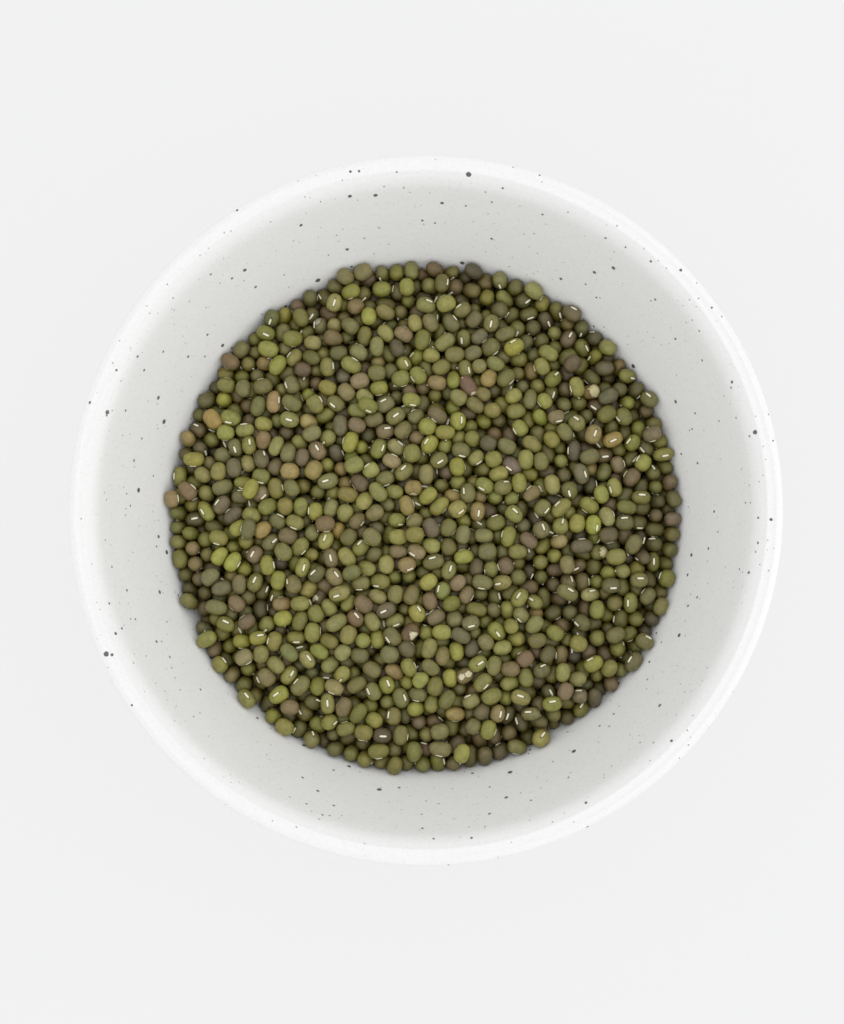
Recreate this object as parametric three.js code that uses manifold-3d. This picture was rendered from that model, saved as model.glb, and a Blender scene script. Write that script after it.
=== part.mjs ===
// A white stoneware bowl with dry mung beans to half its depth.
//
// Millimetres, +Z up. The bowl stands on its foot ring, and the origin is the centre of the
// ring's underside. There are two solids: the turned bowl, and the heap of beans, which is a
// core that fits the bowl's inside with the beans of its top layer fused on, at their real size.

import * as THREE from 'three';
import { mergeVertices } from 'three/addons/utils/BufferGeometryUtils.js';
import Module from 'manifold-3d';

const wasm = await Module();
wasm.setup();

// ---- Driving dimensions: the bowl ----

const BOWL_HEIGHT = 66;
const RIM_RADIUS = 80; // outermost edge of the bowl
const RIM_WIDTH = 2.6; // the rim's top, from its outer edge to where it starts to fall inward
const RIM_ROUND = 1; // rounding of the rim's outer edge
const RIM_BAND = 3.2; // height of the rim's outer face
const RIDGE_ROUND = 3.3; // the rim's top turns down into the lip with this radius
const LIP_SLOPE = (41 * Math.PI) / 180; // the lip's slope there
const LIP_ROUND = 10; // the lip steepens from there into the wall with this radius
const NECK_DROP = 9; // where the outer wall has drawn in below the rim
const INNER_DEPTH = 57.5; // rim to floor, inside
const WALL_SLOPE = (62 * Math.PI) / 180; // of the straight upper wall, up from the level
const BOTTOM_ROUND = 58; // radius of the round that the wall turns in with, inside
const WALL_THICKNESS = 5;
const FOOT_RADIUS = 34;
const FOOT_WIDTH = 5;
const FOOT_RECESS = 4; // height of the hollow under the base
const FOOT_ROUND = 1;

// ---- Driving dimensions: the beans ----

const BEAN_LENGTH = [4.0, 5.2]; // shortest and longest bean
const BEAN_WIDTH = [3.4, 4.0];
const BEAN_THICKNESS = 0.95; // share of the width
const BEAN_COUNT = 270; // beans fused to the core
const HEAP_EDGE_HEIGHT = 42.5; // top of the beans where they meet the bowl
const HEAP_DOME = 2; // how much higher the middle of the heap is
const CORE_SINK = 2.4; // the core's surface lies this far below the tops of the beans
const LEVEL_SPREAD = 0.7; // how unevenly high the beans lie
const PLACE_SPREAD = 0.6; // how far a bean lies from its even spacing
const TILT_SPREAD = 0.5; // radians that a bean's length leans out of the level
const CORE_CLEARANCE = 0.35; // between the core and the bowl
const BEAN_CLEARANCE = 0.45; // between the beans and the bowl

// ---- Resolution ----

const BOWL_SEGMENTS = 48;
const CORE_SEGMENTS = 24; // divides the bowl's, so that the core's corners lie on its corners
const OUTSIDE_STEPS = 6;
const INSIDE_STEPS = 8;
const ROUND_STEPS = 2;
const DOME_STEPS = 2;
const FACET_FIT = 1.08; // an icosahedron of this radius has about the size of the unit ball
const CLEARING_PASSES = 3; // moves that bring a bean in from the wall
const WELD = 1e-3; // points nearer than this are one
const SEED = 20;

// ---- Helpers ----

// Random numbers from 0 to 1, the same ones on each run.
function seededRandom(seed) {
  let state = seed >>> 0;
  return () => {
    state = (state + 0x6d2b79f5) >>> 0;
    let mixed = Math.imul(state ^ (state >>> 15), 1 | state);
    mixed = (mixed + Math.imul(mixed ^ (mixed >>> 7), 61 | mixed)) ^ mixed;
    return ((mixed ^ (mixed >>> 14)) >>> 0) / 4294967296;
  };
}

// Centres of the two rounds that the rim's top turns down into the wall with, and the place
// where the second one meets the straight wall.
const RIDGE_CENTRE_RADIUS = RIM_RADIUS - RIM_WIDTH;
const RIDGE_CENTRE_HEIGHT = BOWL_HEIGHT - RIDGE_ROUND;
const LIP_CENTRE_RADIUS = RIDGE_CENTRE_RADIUS + (LIP_ROUND - RIDGE_ROUND) * Math.sin(LIP_SLOPE);
const LIP_CENTRE_HEIGHT = RIDGE_CENTRE_HEIGHT - (LIP_ROUND - RIDGE_ROUND) * Math.cos(LIP_SLOPE);
const LIP_RADIUS = LIP_CENTRE_RADIUS - LIP_ROUND * Math.sin(WALL_SLOPE);
const LIP_DROP = BOWL_HEIGHT - LIP_CENTRE_HEIGHT - LIP_ROUND * Math.cos(WALL_SLOPE);

// Where the straight upper wall turns in, and the centre of the round that it turns in with.
// The radius of that centre is also the radius of the level floor inside.
const TURN_ANGLE = WALL_SLOPE - Math.PI / 2;
const ROUND_CENTRE_HEIGHT = BOWL_HEIGHT - INNER_DEPTH + BOTTOM_ROUND;
const TURN_DEPTH = BOWL_HEIGHT - ROUND_CENTRE_HEIGHT + BOTTOM_ROUND * Math.cos(WALL_SLOPE);
const ROUND_CENTRE_RADIUS =
  LIP_RADIUS - (TURN_DEPTH - LIP_DROP) / Math.tan(WALL_SLOPE) - BOTTOM_ROUND * Math.sin(WALL_SLOPE);

// Radius of the bowl's inside at a depth below the rim, or of the surface that lies outward of
// the inside by a distance.
function wallRadius(depth, outward = 0) {
  const round = BOTTOM_ROUND + outward;
  const rise = ROUND_CENTRE_HEIGHT - (BOWL_HEIGHT - depth);
  if (rise < round * Math.cos(WALL_SLOPE)) {
    const straight = LIP_RADIUS - (depth - LIP_DROP) / Math.tan(WALL_SLOPE);
    return straight + outward / Math.sin(WALL_SLOPE);
  }
  return ROUND_CENTRE_RADIUS + Math.sqrt(round ** 2 - rise ** 2);
}

// Points of a round, by the angle from the +X direction of the profile.
function roundPoints(centreR, centreZ, radius, fromAngle, toAngle, steps = ROUND_STEPS) {
  const points = [];
  for (let i = 0; i <= steps; i++) {
    const angle = fromAngle + ((toAngle - fromAngle) * i) / steps;
    points.push(
      new THREE.Vector2(centreR + radius * Math.cos(angle), centreZ + radius * Math.sin(angle)),
    );
  }
  return points;
}

// Points of the round of the surface that lies outward of the bowl's inside by a distance.
function bottomPoints(outward, fromAngle, toAngle, steps) {
  const radius = BOTTOM_ROUND + outward;
  return roundPoints(ROUND_CENTRE_RADIUS, ROUND_CENTRE_HEIGHT, radius, fromAngle, toAngle, steps);
}

// A closed solid turned about the Z axis from a profile of (radius, height) points.
function turned(profile, segments) {
  const geometry = new THREE.LatheGeometry(profile, segments);
  geometry.rotateX(Math.PI / 2);
  return geometry;
}

function toSolid(geometry) {
  const bare = geometry.clone();
  bare.deleteAttribute('normal');
  bare.deleteAttribute('uv');
  const merged = mergeVertices(bare, WELD);
  return new wasm.Manifold(
    new wasm.Mesh({
      numProp: 3,
      vertProperties: merged.attributes.position.array,
      triVerts: new Uint32Array(merged.index.array),
    }),
  );
}

function toGeometry(solid) {
  const mesh = solid.getMesh();
  const geometry = new THREE.BufferGeometry();
  geometry.setAttribute('position', new THREE.BufferAttribute(mesh.vertProperties, 3));
  geometry.setIndex(new THREE.BufferAttribute(mesh.triVerts, 1));
  geometry.computeVertexNormals();
  return geometry;
}

// ---- The bowl ----

// The profile runs up the outside from the axis, over the rim and down the inside.
function bowlGeometry() {
  const footInner = FOOT_RADIUS - FOOT_WIDTH;
  const outerRound = BOTTOM_ROUND + WALL_THICKNESS;
  const footAngle = -Math.acos((FOOT_RADIUS - ROUND_CENTRE_RADIUS) / outerRound);

  const foot = [
    new THREE.Vector2(0, FOOT_RECESS),
    new THREE.Vector2(footInner, FOOT_RECESS),
    ...roundPoints(footInner + FOOT_ROUND, FOOT_ROUND, FOOT_ROUND, Math.PI, 1.5 * Math.PI),
    ...roundPoints(FOOT_RADIUS - FOOT_ROUND, FOOT_ROUND, FOOT_ROUND, -Math.PI / 2, 0),
  ];
  const outside = [
    ...bottomPoints(WALL_THICKNESS, footAngle, TURN_ANGLE, OUTSIDE_STEPS),
    new THREE.Vector2(wallRadius(NECK_DROP, WALL_THICKNESS), BOWL_HEIGHT - NECK_DROP),
  ];
  const up = Math.PI / 2;
  const lipTurn = up + LIP_SLOPE;
  const wallTurn = up + WALL_SLOPE;
  const rim = [
    new THREE.Vector2(RIM_RADIUS, BOWL_HEIGHT - RIM_BAND),
    ...roundPoints(RIM_RADIUS - RIM_ROUND, BOWL_HEIGHT - RIM_ROUND, RIM_ROUND, 0, up),
    ...roundPoints(RIDGE_CENTRE_RADIUS, RIDGE_CENTRE_HEIGHT, RIDGE_ROUND, up, lipTurn),
  ];
  const inside = [
    ...roundPoints(LIP_CENTRE_RADIUS, LIP_CENTRE_HEIGHT, LIP_ROUND, lipTurn, wallTurn).slice(1),
    ...bottomPoints(0, TURN_ANGLE, -up, INSIDE_STEPS),
    new THREE.Vector2(0, BOWL_HEIGHT - INNER_DEPTH),
  ];
  return turned([...foot, ...outside, ...rim, ...inside], BOWL_SEGMENTS);
}

// ---- The mung beans ----

// Height of the tops of the beans at a distance from the axis.
function heapHeight(radius) {
  const share = radius / wallRadius(BOWL_HEIGHT - HEAP_EDGE_HEIGHT);
  return HEAP_EDGE_HEIGHT + HEAP_DOME * (1 - share ** 2);
}

function coreGeometry() {
  const edgeHeight = HEAP_EDGE_HEIGHT - CORE_SINK;
  const edgeRadius = wallRadius(BOWL_HEIGHT - edgeHeight, -CORE_CLEARANCE);
  const floorHeight = BOWL_HEIGHT - INNER_DEPTH + CORE_CLEARANCE;
  const side = [
    new THREE.Vector2(0, floorHeight),
    ...bottomPoints(-CORE_CLEARANCE, -Math.PI / 2, TURN_ANGLE, INSIDE_STEPS),
    new THREE.Vector2(edgeRadius, edgeHeight),
  ];
  const top = [];
  for (let i = DOME_STEPS - 1; i >= 0; i--) {
    const radius = (edgeRadius * i) / DOME_STEPS;
    top.push(new THREE.Vector2(radius, heapHeight(radius) - CORE_SINK));
  }
  return turned([...side, ...top], CORE_SEGMENTS);
}

// How far a geometry's points reach past the clear space inside the bowl, in millimetres.
function reachPastWall(geometry) {
  const position = geometry.attributes.position;
  const facetShare = Math.cos(Math.PI / BOWL_SEGMENTS);
  let most = -Infinity;
  for (let i = 0; i < position.count; i++) {
    const distance = Math.hypot(position.getX(i), position.getY(i));
    const room = wallRadius(BOWL_HEIGHT - position.getZ(i)) * facetShare - BEAN_CLEARANCE;
    most = Math.max(most, distance - room);
  }
  return most;
}

// One bean of the top layer. The beans are spread evenly on a spiral of golden-angle steps,
// each a little off its even place, and those by the bowl are moved in until they are clear.
function beanGeometry(index, random) {
  const between = ([low, high]) => low + (high - low) * random();
  const spread = (amount) => amount * (2 * random() - 1);
  const length = between(BEAN_LENGTH);
  const width = between(BEAN_WIDTH);
  const bean = new THREE.IcosahedronGeometry(FACET_FIT, 0);
  bean.scale(length / 2, width / 2, (width * BEAN_THICKNESS) / 2);
  bean.rotateX(spread(Math.PI));
  bean.rotateY(spread(TILT_SPREAD));
  bean.rotateZ(spread(Math.PI));

  const goldenAngle = Math.PI * (3 - Math.sqrt(5));
  const outermost = wallRadius(BOWL_HEIGHT - HEAP_EDGE_HEIGHT) - width / 2;
  const radius = outermost * Math.sqrt((index + 0.5) / BEAN_COUNT);
  const angle = index * goldenAngle;
  const x = radius * Math.cos(angle) + spread(PLACE_SPREAD);
  const y = radius * Math.sin(angle) + spread(PLACE_SPREAD);
  const z = heapHeight(Math.hypot(x, y)) - width / 2 + spread(LEVEL_SPREAD);
  bean.translate(x, y, z);
  for (let pass = 0; pass < CLEARING_PASSES; pass++) {
    const past = Math.max(0, reachPastWall(bean));
    bean.translate(-past * Math.cos(angle), -past * Math.sin(angle), 0);
  }
  return bean;
}

function heapGeometry() {
  const random = seededRandom(SEED);
  let heap = toSolid(coreGeometry());
  for (let i = 0; i < BEAN_COUNT; i++) {
    heap = heap.add(toSolid(beanGeometry(i, random)));
  }
  // Only the largest shell is kept, which drops loose scraps and fills hollows.
  const largest = heap.decompose().reduce((a, b) => (a.volume() > b.volume() ? a : b));
  return toGeometry(largest);
}

// ---- The object ----

const glaze = new THREE.MeshStandardMaterial({ color: 0xe4e5e8, roughness: 0.3, metalness: 0 });
const beanSkin = new THREE.MeshStandardMaterial({ color: 0x5e5a34, roughness: 0.5, metalness: 0 });

const bowl = new THREE.Mesh(bowlGeometry(), glaze);
bowl.name = 'bowl';

const mungBeans = new THREE.Mesh(heapGeometry(), beanSkin);
mungBeans.name = 'mung_beans';

const bowlOfMungBeans = new THREE.Group();
bowlOfMungBeans.add(bowl, mungBeans);

export default bowlOfMungBeans;
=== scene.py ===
"""A white speckled stoneware bowl, a little over half full of dry mung beans.

The camera looks almost straight down. Lengths are in millimetres in the code that works out
shapes, and in metres on every Blender object.
"""

import math

import bpy
import numpy as np
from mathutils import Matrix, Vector


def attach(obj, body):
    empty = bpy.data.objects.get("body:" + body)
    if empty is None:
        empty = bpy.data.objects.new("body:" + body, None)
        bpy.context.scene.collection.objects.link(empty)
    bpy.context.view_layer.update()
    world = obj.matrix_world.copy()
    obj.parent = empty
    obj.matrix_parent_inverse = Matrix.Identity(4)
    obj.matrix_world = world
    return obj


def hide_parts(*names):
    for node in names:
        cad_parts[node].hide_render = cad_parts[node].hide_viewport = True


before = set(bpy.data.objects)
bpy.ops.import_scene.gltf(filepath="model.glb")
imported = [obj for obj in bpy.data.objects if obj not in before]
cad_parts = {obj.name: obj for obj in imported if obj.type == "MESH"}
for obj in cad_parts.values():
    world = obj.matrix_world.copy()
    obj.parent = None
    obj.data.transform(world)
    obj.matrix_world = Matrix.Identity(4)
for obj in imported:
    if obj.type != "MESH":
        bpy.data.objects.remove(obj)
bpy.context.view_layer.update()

MM = 0.001

# ---- The bowl, in millimetres: the same form as the CAD model's ----

BOWL_HEIGHT = 66.0
RIM_RADIUS = 80.0  # outermost edge
RIM_WIDTH = 2.6  # the rim's top, from its outer edge to where it starts to fall inward
RIM_ROUND = 1.0
RIM_BAND = 3.2  # height of the rim's outer face
RIDGE_ROUND = 3.3  # the rim's top turns down into the lip with this radius
LIP_SLOPE = math.radians(41.0)  # the lip's slope there
LIP_ROUND = 10.0  # the lip steepens from there into the wall with this radius
NECK_DROP = 9.0  # where the outer wall has drawn in below the rim
INNER_DEPTH = 57.5
WALL_SLOPE = math.radians(62.0)  # of the straight upper wall, up from the level
BOTTOM_ROUND = 58.0  # radius of the round that the wall turns in with, inside
WALL_THICKNESS = 5.0
FOOT_RADIUS = 34.0
FOOT_WIDTH = 5.0
FOOT_RECESS = 4.0
FOOT_ROUND = 1.0
BOWL_SIDES = 192
GLAZE_LINES = (76.4, 78.4)  # radii of two low rings round the rim's top
GLAZE_LINE_HEIGHT = 0.22
GLAZE_LINE_WIDTH = 0.42
RIM_TOP_DEPTH = 1.5  # only what lies above this depth below the rim is raised by them
PROFILE_STEP = 0.2  # spacing of the points that the profile is softened at
PROFILE_BEND = math.radians(3.0)  # the points that are kept lie this far apart in direction
PROFILE_RUN = 1.6  # or this far apart in length
SOFT_PASSES = 8  # each pass rounds the profile's corners a little more
WOBBLE = 0.10  # how far the thrown wall strays from a true circle
SWAYS = ((0.6, 2, 0.8), (0.3, 3, 2.1), (0.1, 7, 0.0))  # share of it, waves round the bowl, start
THROWING_RINGS = (0.25, 0.9)  # share of it, and waves up the wall in radians for each mm
DRAWN_IN = 0.6  # share of it that the whole wall lies further in
RIM_WAVES = (2, 2.4)  # waves of the rim's height round the bowl, and start

# ---- The heap of beans, in millimetres ----

BEAN_COUNT = 2020
BEAN_LENGTH = (4.60, 0.30)  # mean and spread
BEAN_LENGTH_LIMITS = (4.0, 5.5)
BEAN_WIDTH = (3.65, 0.17)
BEAN_WIDTH_LIMITS = (3.3, 4.25)
BEAN_FLATNESS = (0.93, 1.0)  # thickness against width, least and most
BEAN_TAPER = (0.0, 0.05)  # how much thicker one end is, mean and spread
BEAN_BEND = (0.08, 0.06)  # how far the ends bend away from the seed scar, mean and spread
BEAN_DENT = (0.0, 0.16)  # how far the side with the seed scar is sunk, least and most
BARREL = 2.35  # exponent of a bean's outline: 2 is an ellipse, more is blunter
TOP_DETAIL = 6  # cells along each edge of the cube that a bean's mesh is blown up from
DEEP_DETAIL = 4
HEAP_EDGE_HEIGHT = 42.5  # tops of the beans at the bowl's wall
HEAP_DOME = 2.0  # how much higher the middle is
BED_DEPTH = 9.6  # depth of the loose beans over the core
CORE_GAP = 0.35
CORE_SIDES = 96
WALL_GAP = 0.05
DEEP_FROM = 5.5  # beans with their middles this far under the tops are made plainer
SCARS_TO = 7.0  # and from this far down they have no seed scar
SCAR_LOWEST = -0.35  # nor have beans whose scar looks down by more than this, as a sine
SEED = 7

HILUM_LENGTH = 1.80  # the hilum is the seed scar
HILUM_WIDTH = 0.50
HILUM_SHIFT = 0.15  # off the bean's middle
HILUM_SIDES = 20
HILUM_BLUNTNESS = 2.8  # exponent of its outline: more is blunter
HILUM_RINGS = ((1.0, -0.06), (0.93, 0.02), (0.72, 0.05), (0.35, 0.058))  # size and rise

# The beans start in layers over the core and fall. Here a bean is two joined spheres, and
# times are in seconds.
SPHERE_SIZE = 0.985  # of the spheres, against the bean's mean thickness
SPHERE_SPREAD = 0.95  # of their distance apart, against the bean's length
SPHERE_LEAST = 0.1  # least of half that distance
START_SPACING = 4.95
START_REACH = 53.0  # radius that they start within
START_SQUARE = 60.0  # half the side of the grid that their places are taken from
START_RISE = 3.0  # of the lowest layer above the core
START_LAYER = 4.6  # from each layer to the next
START_STRAY = (0.9, 0.6)  # off its place, across and up
SETTLE_STEPS = 260
SETTLE_PASSES = 4
SETTLE_TICK = 1.0 / 400.0
SETTLE_DAMPING = 0.9  # share of its speed that a bean keeps at each step
SETTLE_EASE = 1.4  # more contacts than this share their push out
GRAVITY = 9800.0
SEARCH_EVERY = 6  # steps from one search for neighbours to the next
SEARCH_MARGIN = 1.2

# Painted shade: the beans' skin is darkened and yellowed by its depth down between the beans.
PAINTED_SHADE_FROM = 0.7  # depth under the tops where the painted shade starts to darken the skin
PAINTED_SHADE_TO = 4.6
PAINTED_SHADE_COLOUR = (0.34, 0.31, 0.19)

# Beans that stand out, and the patches of bare flesh on them.
PALE = (0.52, 0.46, 0.25)
CREAM = (0.62, 0.56, 0.38)
ODD_DETAIL = 24
ODD_FLATNESS = 0.96  # thickness against width
COVER_REACH = 2.4  # a bean is out of view where one so near to it, seen from above,
COVER_RISE = 0.8  # lies this much higher
PATCH_STRAY = 0.22  # how far a patch's outline strays, against its reach
PATCH_WAVES = ((9.0, 1.0), (11.0, 0.0), (10.0, 2.0))  # waves of it along x, y and z, and starts
PATCH_FADE = 0.16  # width of its soft edge, against its reach
PATCH_EDGE = 1.08  # where the skin is darkest round a patch, against its reach
PATCH_EDGE_TONE = 0.55  # how much darker it is there
PATCH_DENT = 0.05  # how much nearer the bean's middle the flesh lies, against the skin

# place is in the photograph's pixels. size is length and width; lie is the bearing of the
# length in the picture, and scar how far the seed scar is turned up, both in degrees. skin is
# hue, saturation and value. Each patch of bare flesh has the bearing and the rise of its
# middle, its reach in degrees, and how much narrower it is across.
ODD_BEANS = (
    {"place": (402, 408), "size": (4.7, 3.7), "lie": 20, "scar": 48, "skin": (0.155, 0.46, 0.52),
     "flesh": PALE, "patches": ((0, 32, 27, 1.3),)},
    {"place": (315, 600), "size": (5.0, 3.8), "lie": 80, "scar": -20, "skin": (0.11, 0.42, 0.46),
     "flesh": CREAM, "patches": ((185, 38, 50, 3.6),)},
    {"place": (416, 627), "size": (5.0, 3.7), "lie": 48, "scar": -30, "skin": (0.10, 0.48, 0.42),
     "flesh": CREAM, "patches": ((320, 38, 50, 2.6),)},
    {"place": (591, 396), "size": (4.4, 3.6), "lie": 10, "scar": -30, "skin": (0.105, 0.52, 0.52),
     "flesh": PALE, "patches": ((10, 45, 62, 1.1),)},
    {"place": (595, 556), "size": (4.2, 3.5), "lie": 0, "scar": -20, "skin": (0.155, 0.46, 0.50),
     "flesh": PALE, "patches": ((0, 35, 55, 1.1),)},
    {"place": (468, 392), "size": (5.4, 3.8), "lie": 122, "scar": -20, "skin": (0.075, 0.38, 0.46),
     "flesh": CREAM, "patches": ((302, 22, 26, 1.2), (130, 30, 12, 2.4))},
    {"place": (472, 671), "size": (4.3, 3.6), "lie": 30, "scar": -40, "skin": (0.12, 0.44, 0.48),
     "flesh": CREAM, "patches": ((20, 62, 26, 1.0), (205, 66, 24, 1.0))},
    {"place": (406, 483), "size": (4.1, 3.8), "lie": 0, "scar": -20, "skin": (0.125, 0.48, 0.56),
     "flesh": PALE, "patches": ((270, 18, 32, 0.55),)},
    {"place": (312, 325), "size": (4.1, 3.9), "lie": 90, "scar": 40, "skin": (0.150, 0.34, 0.55),
     "flesh": (0.34, 0.33, 0.22), "patches": ((135, 48, 34, 1.2),)},
    {"place": (219, 413), "size": (5.1, 4.0), "lie": 130, "scar": -30, "skin": (0.118, 0.52, 0.62),
     "flesh": PALE, "patches": ()},
    {"place": (378, 297), "size": (4.8, 3.8), "lie": 35, "scar": 30, "skin": (0.085, 0.34, 0.52),
     "flesh": PALE, "patches": ((125, 28, 20, 1.0),)},
    {"place": (515, 470), "size": (5.1, 4.1), "lie": 145, "scar": 55, "skin": (0.085, 0.26, 0.47),
     "flesh": PALE, "patches": ()},
)

# Kinds of bean: share of the whole, then hue, saturation and value with their spreads.
KINDS = {
    "beans_leaf_green": (0.23, (0.161, 0.005), (0.51, 0.035), (0.545, 0.04)),
    "beans_olive": (0.31, (0.153, 0.006), (0.47, 0.03), (0.52, 0.04)),
    "beans_grey_green": (0.22, (0.148, 0.007), (0.42, 0.025), (0.475, 0.035)),
    "beans_brown": (0.13, (0.112, 0.008), (0.39, 0.03), (0.49, 0.035)),
    "beans_tan": (0.05, (0.124, 0.006), (0.45, 0.035), (0.58, 0.03)),
    "beans_dark": (0.06, (0.130, 0.010), (0.35, 0.03), (0.41, 0.03)),
}
VALUE_LIMITS = (0.2, 0.9)

# ---- Materials ----

GLAZE_COLOURS = ((0.850, 0.850, 0.838), (0.896, 0.896, 0.884))
SPECK_COLOUR = (0.030, 0.033, 0.030)
SMALL_SPECK_COLOUR = (0.15, 0.14, 0.12)
# Cells for each mm, radius in mm, share of the cells that hold a speck, and a seed.
LARGE_SPECKS = (0.20, 0.74, 0.42, 1.3)
MEDIUM_SPECKS = (0.36, 0.44, 0.42, 4.1)
SMALL_SPECKS = (0.60, 0.27, 0.42, 8.7)
SPECK_SHIFT = 0.25 * MM  # how far a speck's outline is ragged
CLAY_COLOURS = ((0.42, 0.35, 0.27), (0.62, 0.54, 0.44))
CLAY_TOP = (1.1 * MM, 1.35 * MM)  # the glaze starts between these heights
MOTTLE_TONES = ((0.80, 0.80, 0.82), (1.16, 1.16, 1.10))
STREAK_TONES = ((0.86, 0.86, 0.86), (1.12, 1.12, 1.10))
HILUM_COLOURS = ((0.72, 0.67, 0.46), (0.95, 0.91, 0.72))
HILUM_LINE_COLOUR = (0.012, 0.011, 0.007)
# Near black: painted shade for the deep part of the heap seen between the beans.
CORE_SHADE_COLOURS = ((0.010, 0.010, 0.005), (0.03, 0.028, 0.014))
TOP_ROUGHNESS = 0.42
ODD_ROUGHNESS = 0.46
DEEP_ROUGHNESS = 0.5

# ---- Light ----

SKY_COLOUR = (0.985, 0.99, 1.0)
SKY_HORIZON = 0.56  # strength of the light that comes in level
SKY_ZENITH = 1.20  # and from straight above
SKY_LOW = 0.7  # more light in a low band, which reaches the rim and not the beans
SKY_LOW_TOP = 0.18  # sine of the elevation where that band ends
SKY_FADE_FROM = 0.05  # sine of the elevation where the one starts to give way to the other
SKY_FADE_TO = 0.85
KEY_PLACE = (0.95, -0.06, 0.36)  # metres
KEY_AIM = (0.0, 0.0, 0.05)
KEY_SIZE = 0.8
KEY_POWER = 1.4
FLOOR_GLOW = 0.69
FLOOR_TONE = 0.18
FLOOR_HALF = 3000.0  # half its side, in millimetres

# ---- The photograph's framing ----

RIM_SCALE = 4.48  # pixels for each millimetre at the height of the rim
FOCAL_PIXELS = 2330.0
LONG_SIDE = 1024.0
PHOTO_WIDTH = 844.0
SENSOR_WIDTH = 36.0
CAMERA_ELEVATION = math.radians(84.8)
RIM_RIGHT_OF_CENTRE = 3.55  # pixels from the picture's middle to the rim's centre
RIM_ABOVE_CENTRE = 6.7


def set_camera():
    data = bpy.data.cameras.new("camera")
    data.sensor_width = SENSOR_WIDTH
    data.lens = data.sensor_width * FOCAL_PIXELS / LONG_SIDE
    data.dof.use_dof = False
    data.clip_start = 0.01
    camera = bpy.data.objects.new("camera", data)
    bpy.context.scene.collection.objects.link(camera)
    distance = FOCAL_PIXELS / RIM_SCALE
    aim = Vector((-RIM_RIGHT_OF_CENTRE / RIM_SCALE, -RIM_ABOVE_CENTRE / RIM_SCALE, BOWL_HEIGHT))
    back = Vector((0.0, -math.cos(CAMERA_ELEVATION), math.sin(CAMERA_ELEVATION)))
    camera.location = (aim + back * distance) * MM
    camera.rotation_euler = (math.pi / 2 - CAMERA_ELEVATION, 0.0, 0.0)
    bpy.context.scene.camera = camera


set_camera()


# ---- Shapes of the bowl ----

# Centres of the two rounds that the rim's top turns down into the wall with, and the place
# where the second one meets the straight wall.
RIDGE_CENTRE_RADIUS = RIM_RADIUS - RIM_WIDTH
RIDGE_CENTRE_HEIGHT = BOWL_HEIGHT - RIDGE_ROUND
LIP_CENTRE_RADIUS = RIDGE_CENTRE_RADIUS + (LIP_ROUND - RIDGE_ROUND) * math.sin(LIP_SLOPE)
LIP_CENTRE_HEIGHT = RIDGE_CENTRE_HEIGHT - (LIP_ROUND - RIDGE_ROUND) * math.cos(LIP_SLOPE)
LIP_RADIUS = LIP_CENTRE_RADIUS - LIP_ROUND * math.sin(WALL_SLOPE)
LIP_DROP = BOWL_HEIGHT - LIP_CENTRE_HEIGHT - LIP_ROUND * math.cos(WALL_SLOPE)

# The straight upper wall turns in with a round, and the radius of the round's centre is also
# that of the level floor inside.
TURN_ANGLE = WALL_SLOPE - math.pi / 2
ROUND_CENTRE_HEIGHT = BOWL_HEIGHT - INNER_DEPTH + BOTTOM_ROUND
TURN_DEPTH = BOWL_HEIGHT - ROUND_CENTRE_HEIGHT + BOTTOM_ROUND * math.cos(WALL_SLOPE)
TURN_RADIUS = LIP_RADIUS - (TURN_DEPTH - LIP_DROP) / math.tan(WALL_SLOPE)
ROUND_CENTRE_RADIUS = TURN_RADIUS - BOTTOM_ROUND * math.sin(WALL_SLOPE)


def wall_radius(depth, outward=0.0):
    """Radius of the bowl's inside at a depth below the rim, or of the surface that lies outward
    of the inside by a distance."""
    reach = BOTTOM_ROUND + outward
    rise = ROUND_CENTRE_HEIGHT - (BOWL_HEIGHT - depth)
    if rise < reach * math.cos(WALL_SLOPE):
        straight = LIP_RADIUS - (depth - LIP_DROP) / math.tan(WALL_SLOPE)
        return straight + outward / math.sin(WALL_SLOPE)
    return ROUND_CENTRE_RADIUS + math.sqrt(reach ** 2 - rise ** 2)


def arc(centre_r, centre_z, radius, start, end, steps=8):
    turn = np.linspace(start, end, steps)
    return np.column_stack([centre_r + radius * np.cos(turn), centre_z + radius * np.sin(turn)])


def bottom_arc(outward, start, end, steps=60):
    return arc(ROUND_CENTRE_RADIUS, ROUND_CENTRE_HEIGHT, BOTTOM_ROUND + outward, start, end, steps)


def bowl_profile():
    """(radius, height) points: up the outside from the axis, over the rim, down the inside."""
    foot_inner = FOOT_RADIUS - FOOT_WIDTH
    rim_z = BOWL_HEIGHT - RIM_ROUND
    up = math.pi / 2
    foot_angle = -math.acos((FOOT_RADIUS - ROUND_CENTRE_RADIUS) / (BOTTOM_ROUND + WALL_THICKNESS))
    return np.vstack([
        [[0.0, FOOT_RECESS], [foot_inner, FOOT_RECESS]],
        arc(foot_inner + FOOT_ROUND, FOOT_ROUND, FOOT_ROUND, math.pi, 1.5 * math.pi),
        arc(FOOT_RADIUS - FOOT_ROUND, FOOT_ROUND, FOOT_ROUND, -math.pi / 2, 0.0),
        bottom_arc(WALL_THICKNESS, foot_angle, TURN_ANGLE),
        [[wall_radius(NECK_DROP, WALL_THICKNESS), BOWL_HEIGHT - NECK_DROP]],
        [[RIM_RADIUS, BOWL_HEIGHT - RIM_BAND]],
        arc(RIM_RADIUS - RIM_ROUND, rim_z, RIM_ROUND, 0.0, math.pi / 2),
        arc(RIDGE_CENTRE_RADIUS, RIDGE_CENTRE_HEIGHT, RIDGE_ROUND, up, up + LIP_SLOPE),
        arc(LIP_CENTRE_RADIUS, LIP_CENTRE_HEIGHT, LIP_ROUND, up + LIP_SLOPE, up + WALL_SLOPE, 12),
        bottom_arc(0.0, TURN_ANGLE, -math.pi / 2),
        [[0.0, BOWL_HEIGHT - INNER_DEPTH]],
    ])


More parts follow.
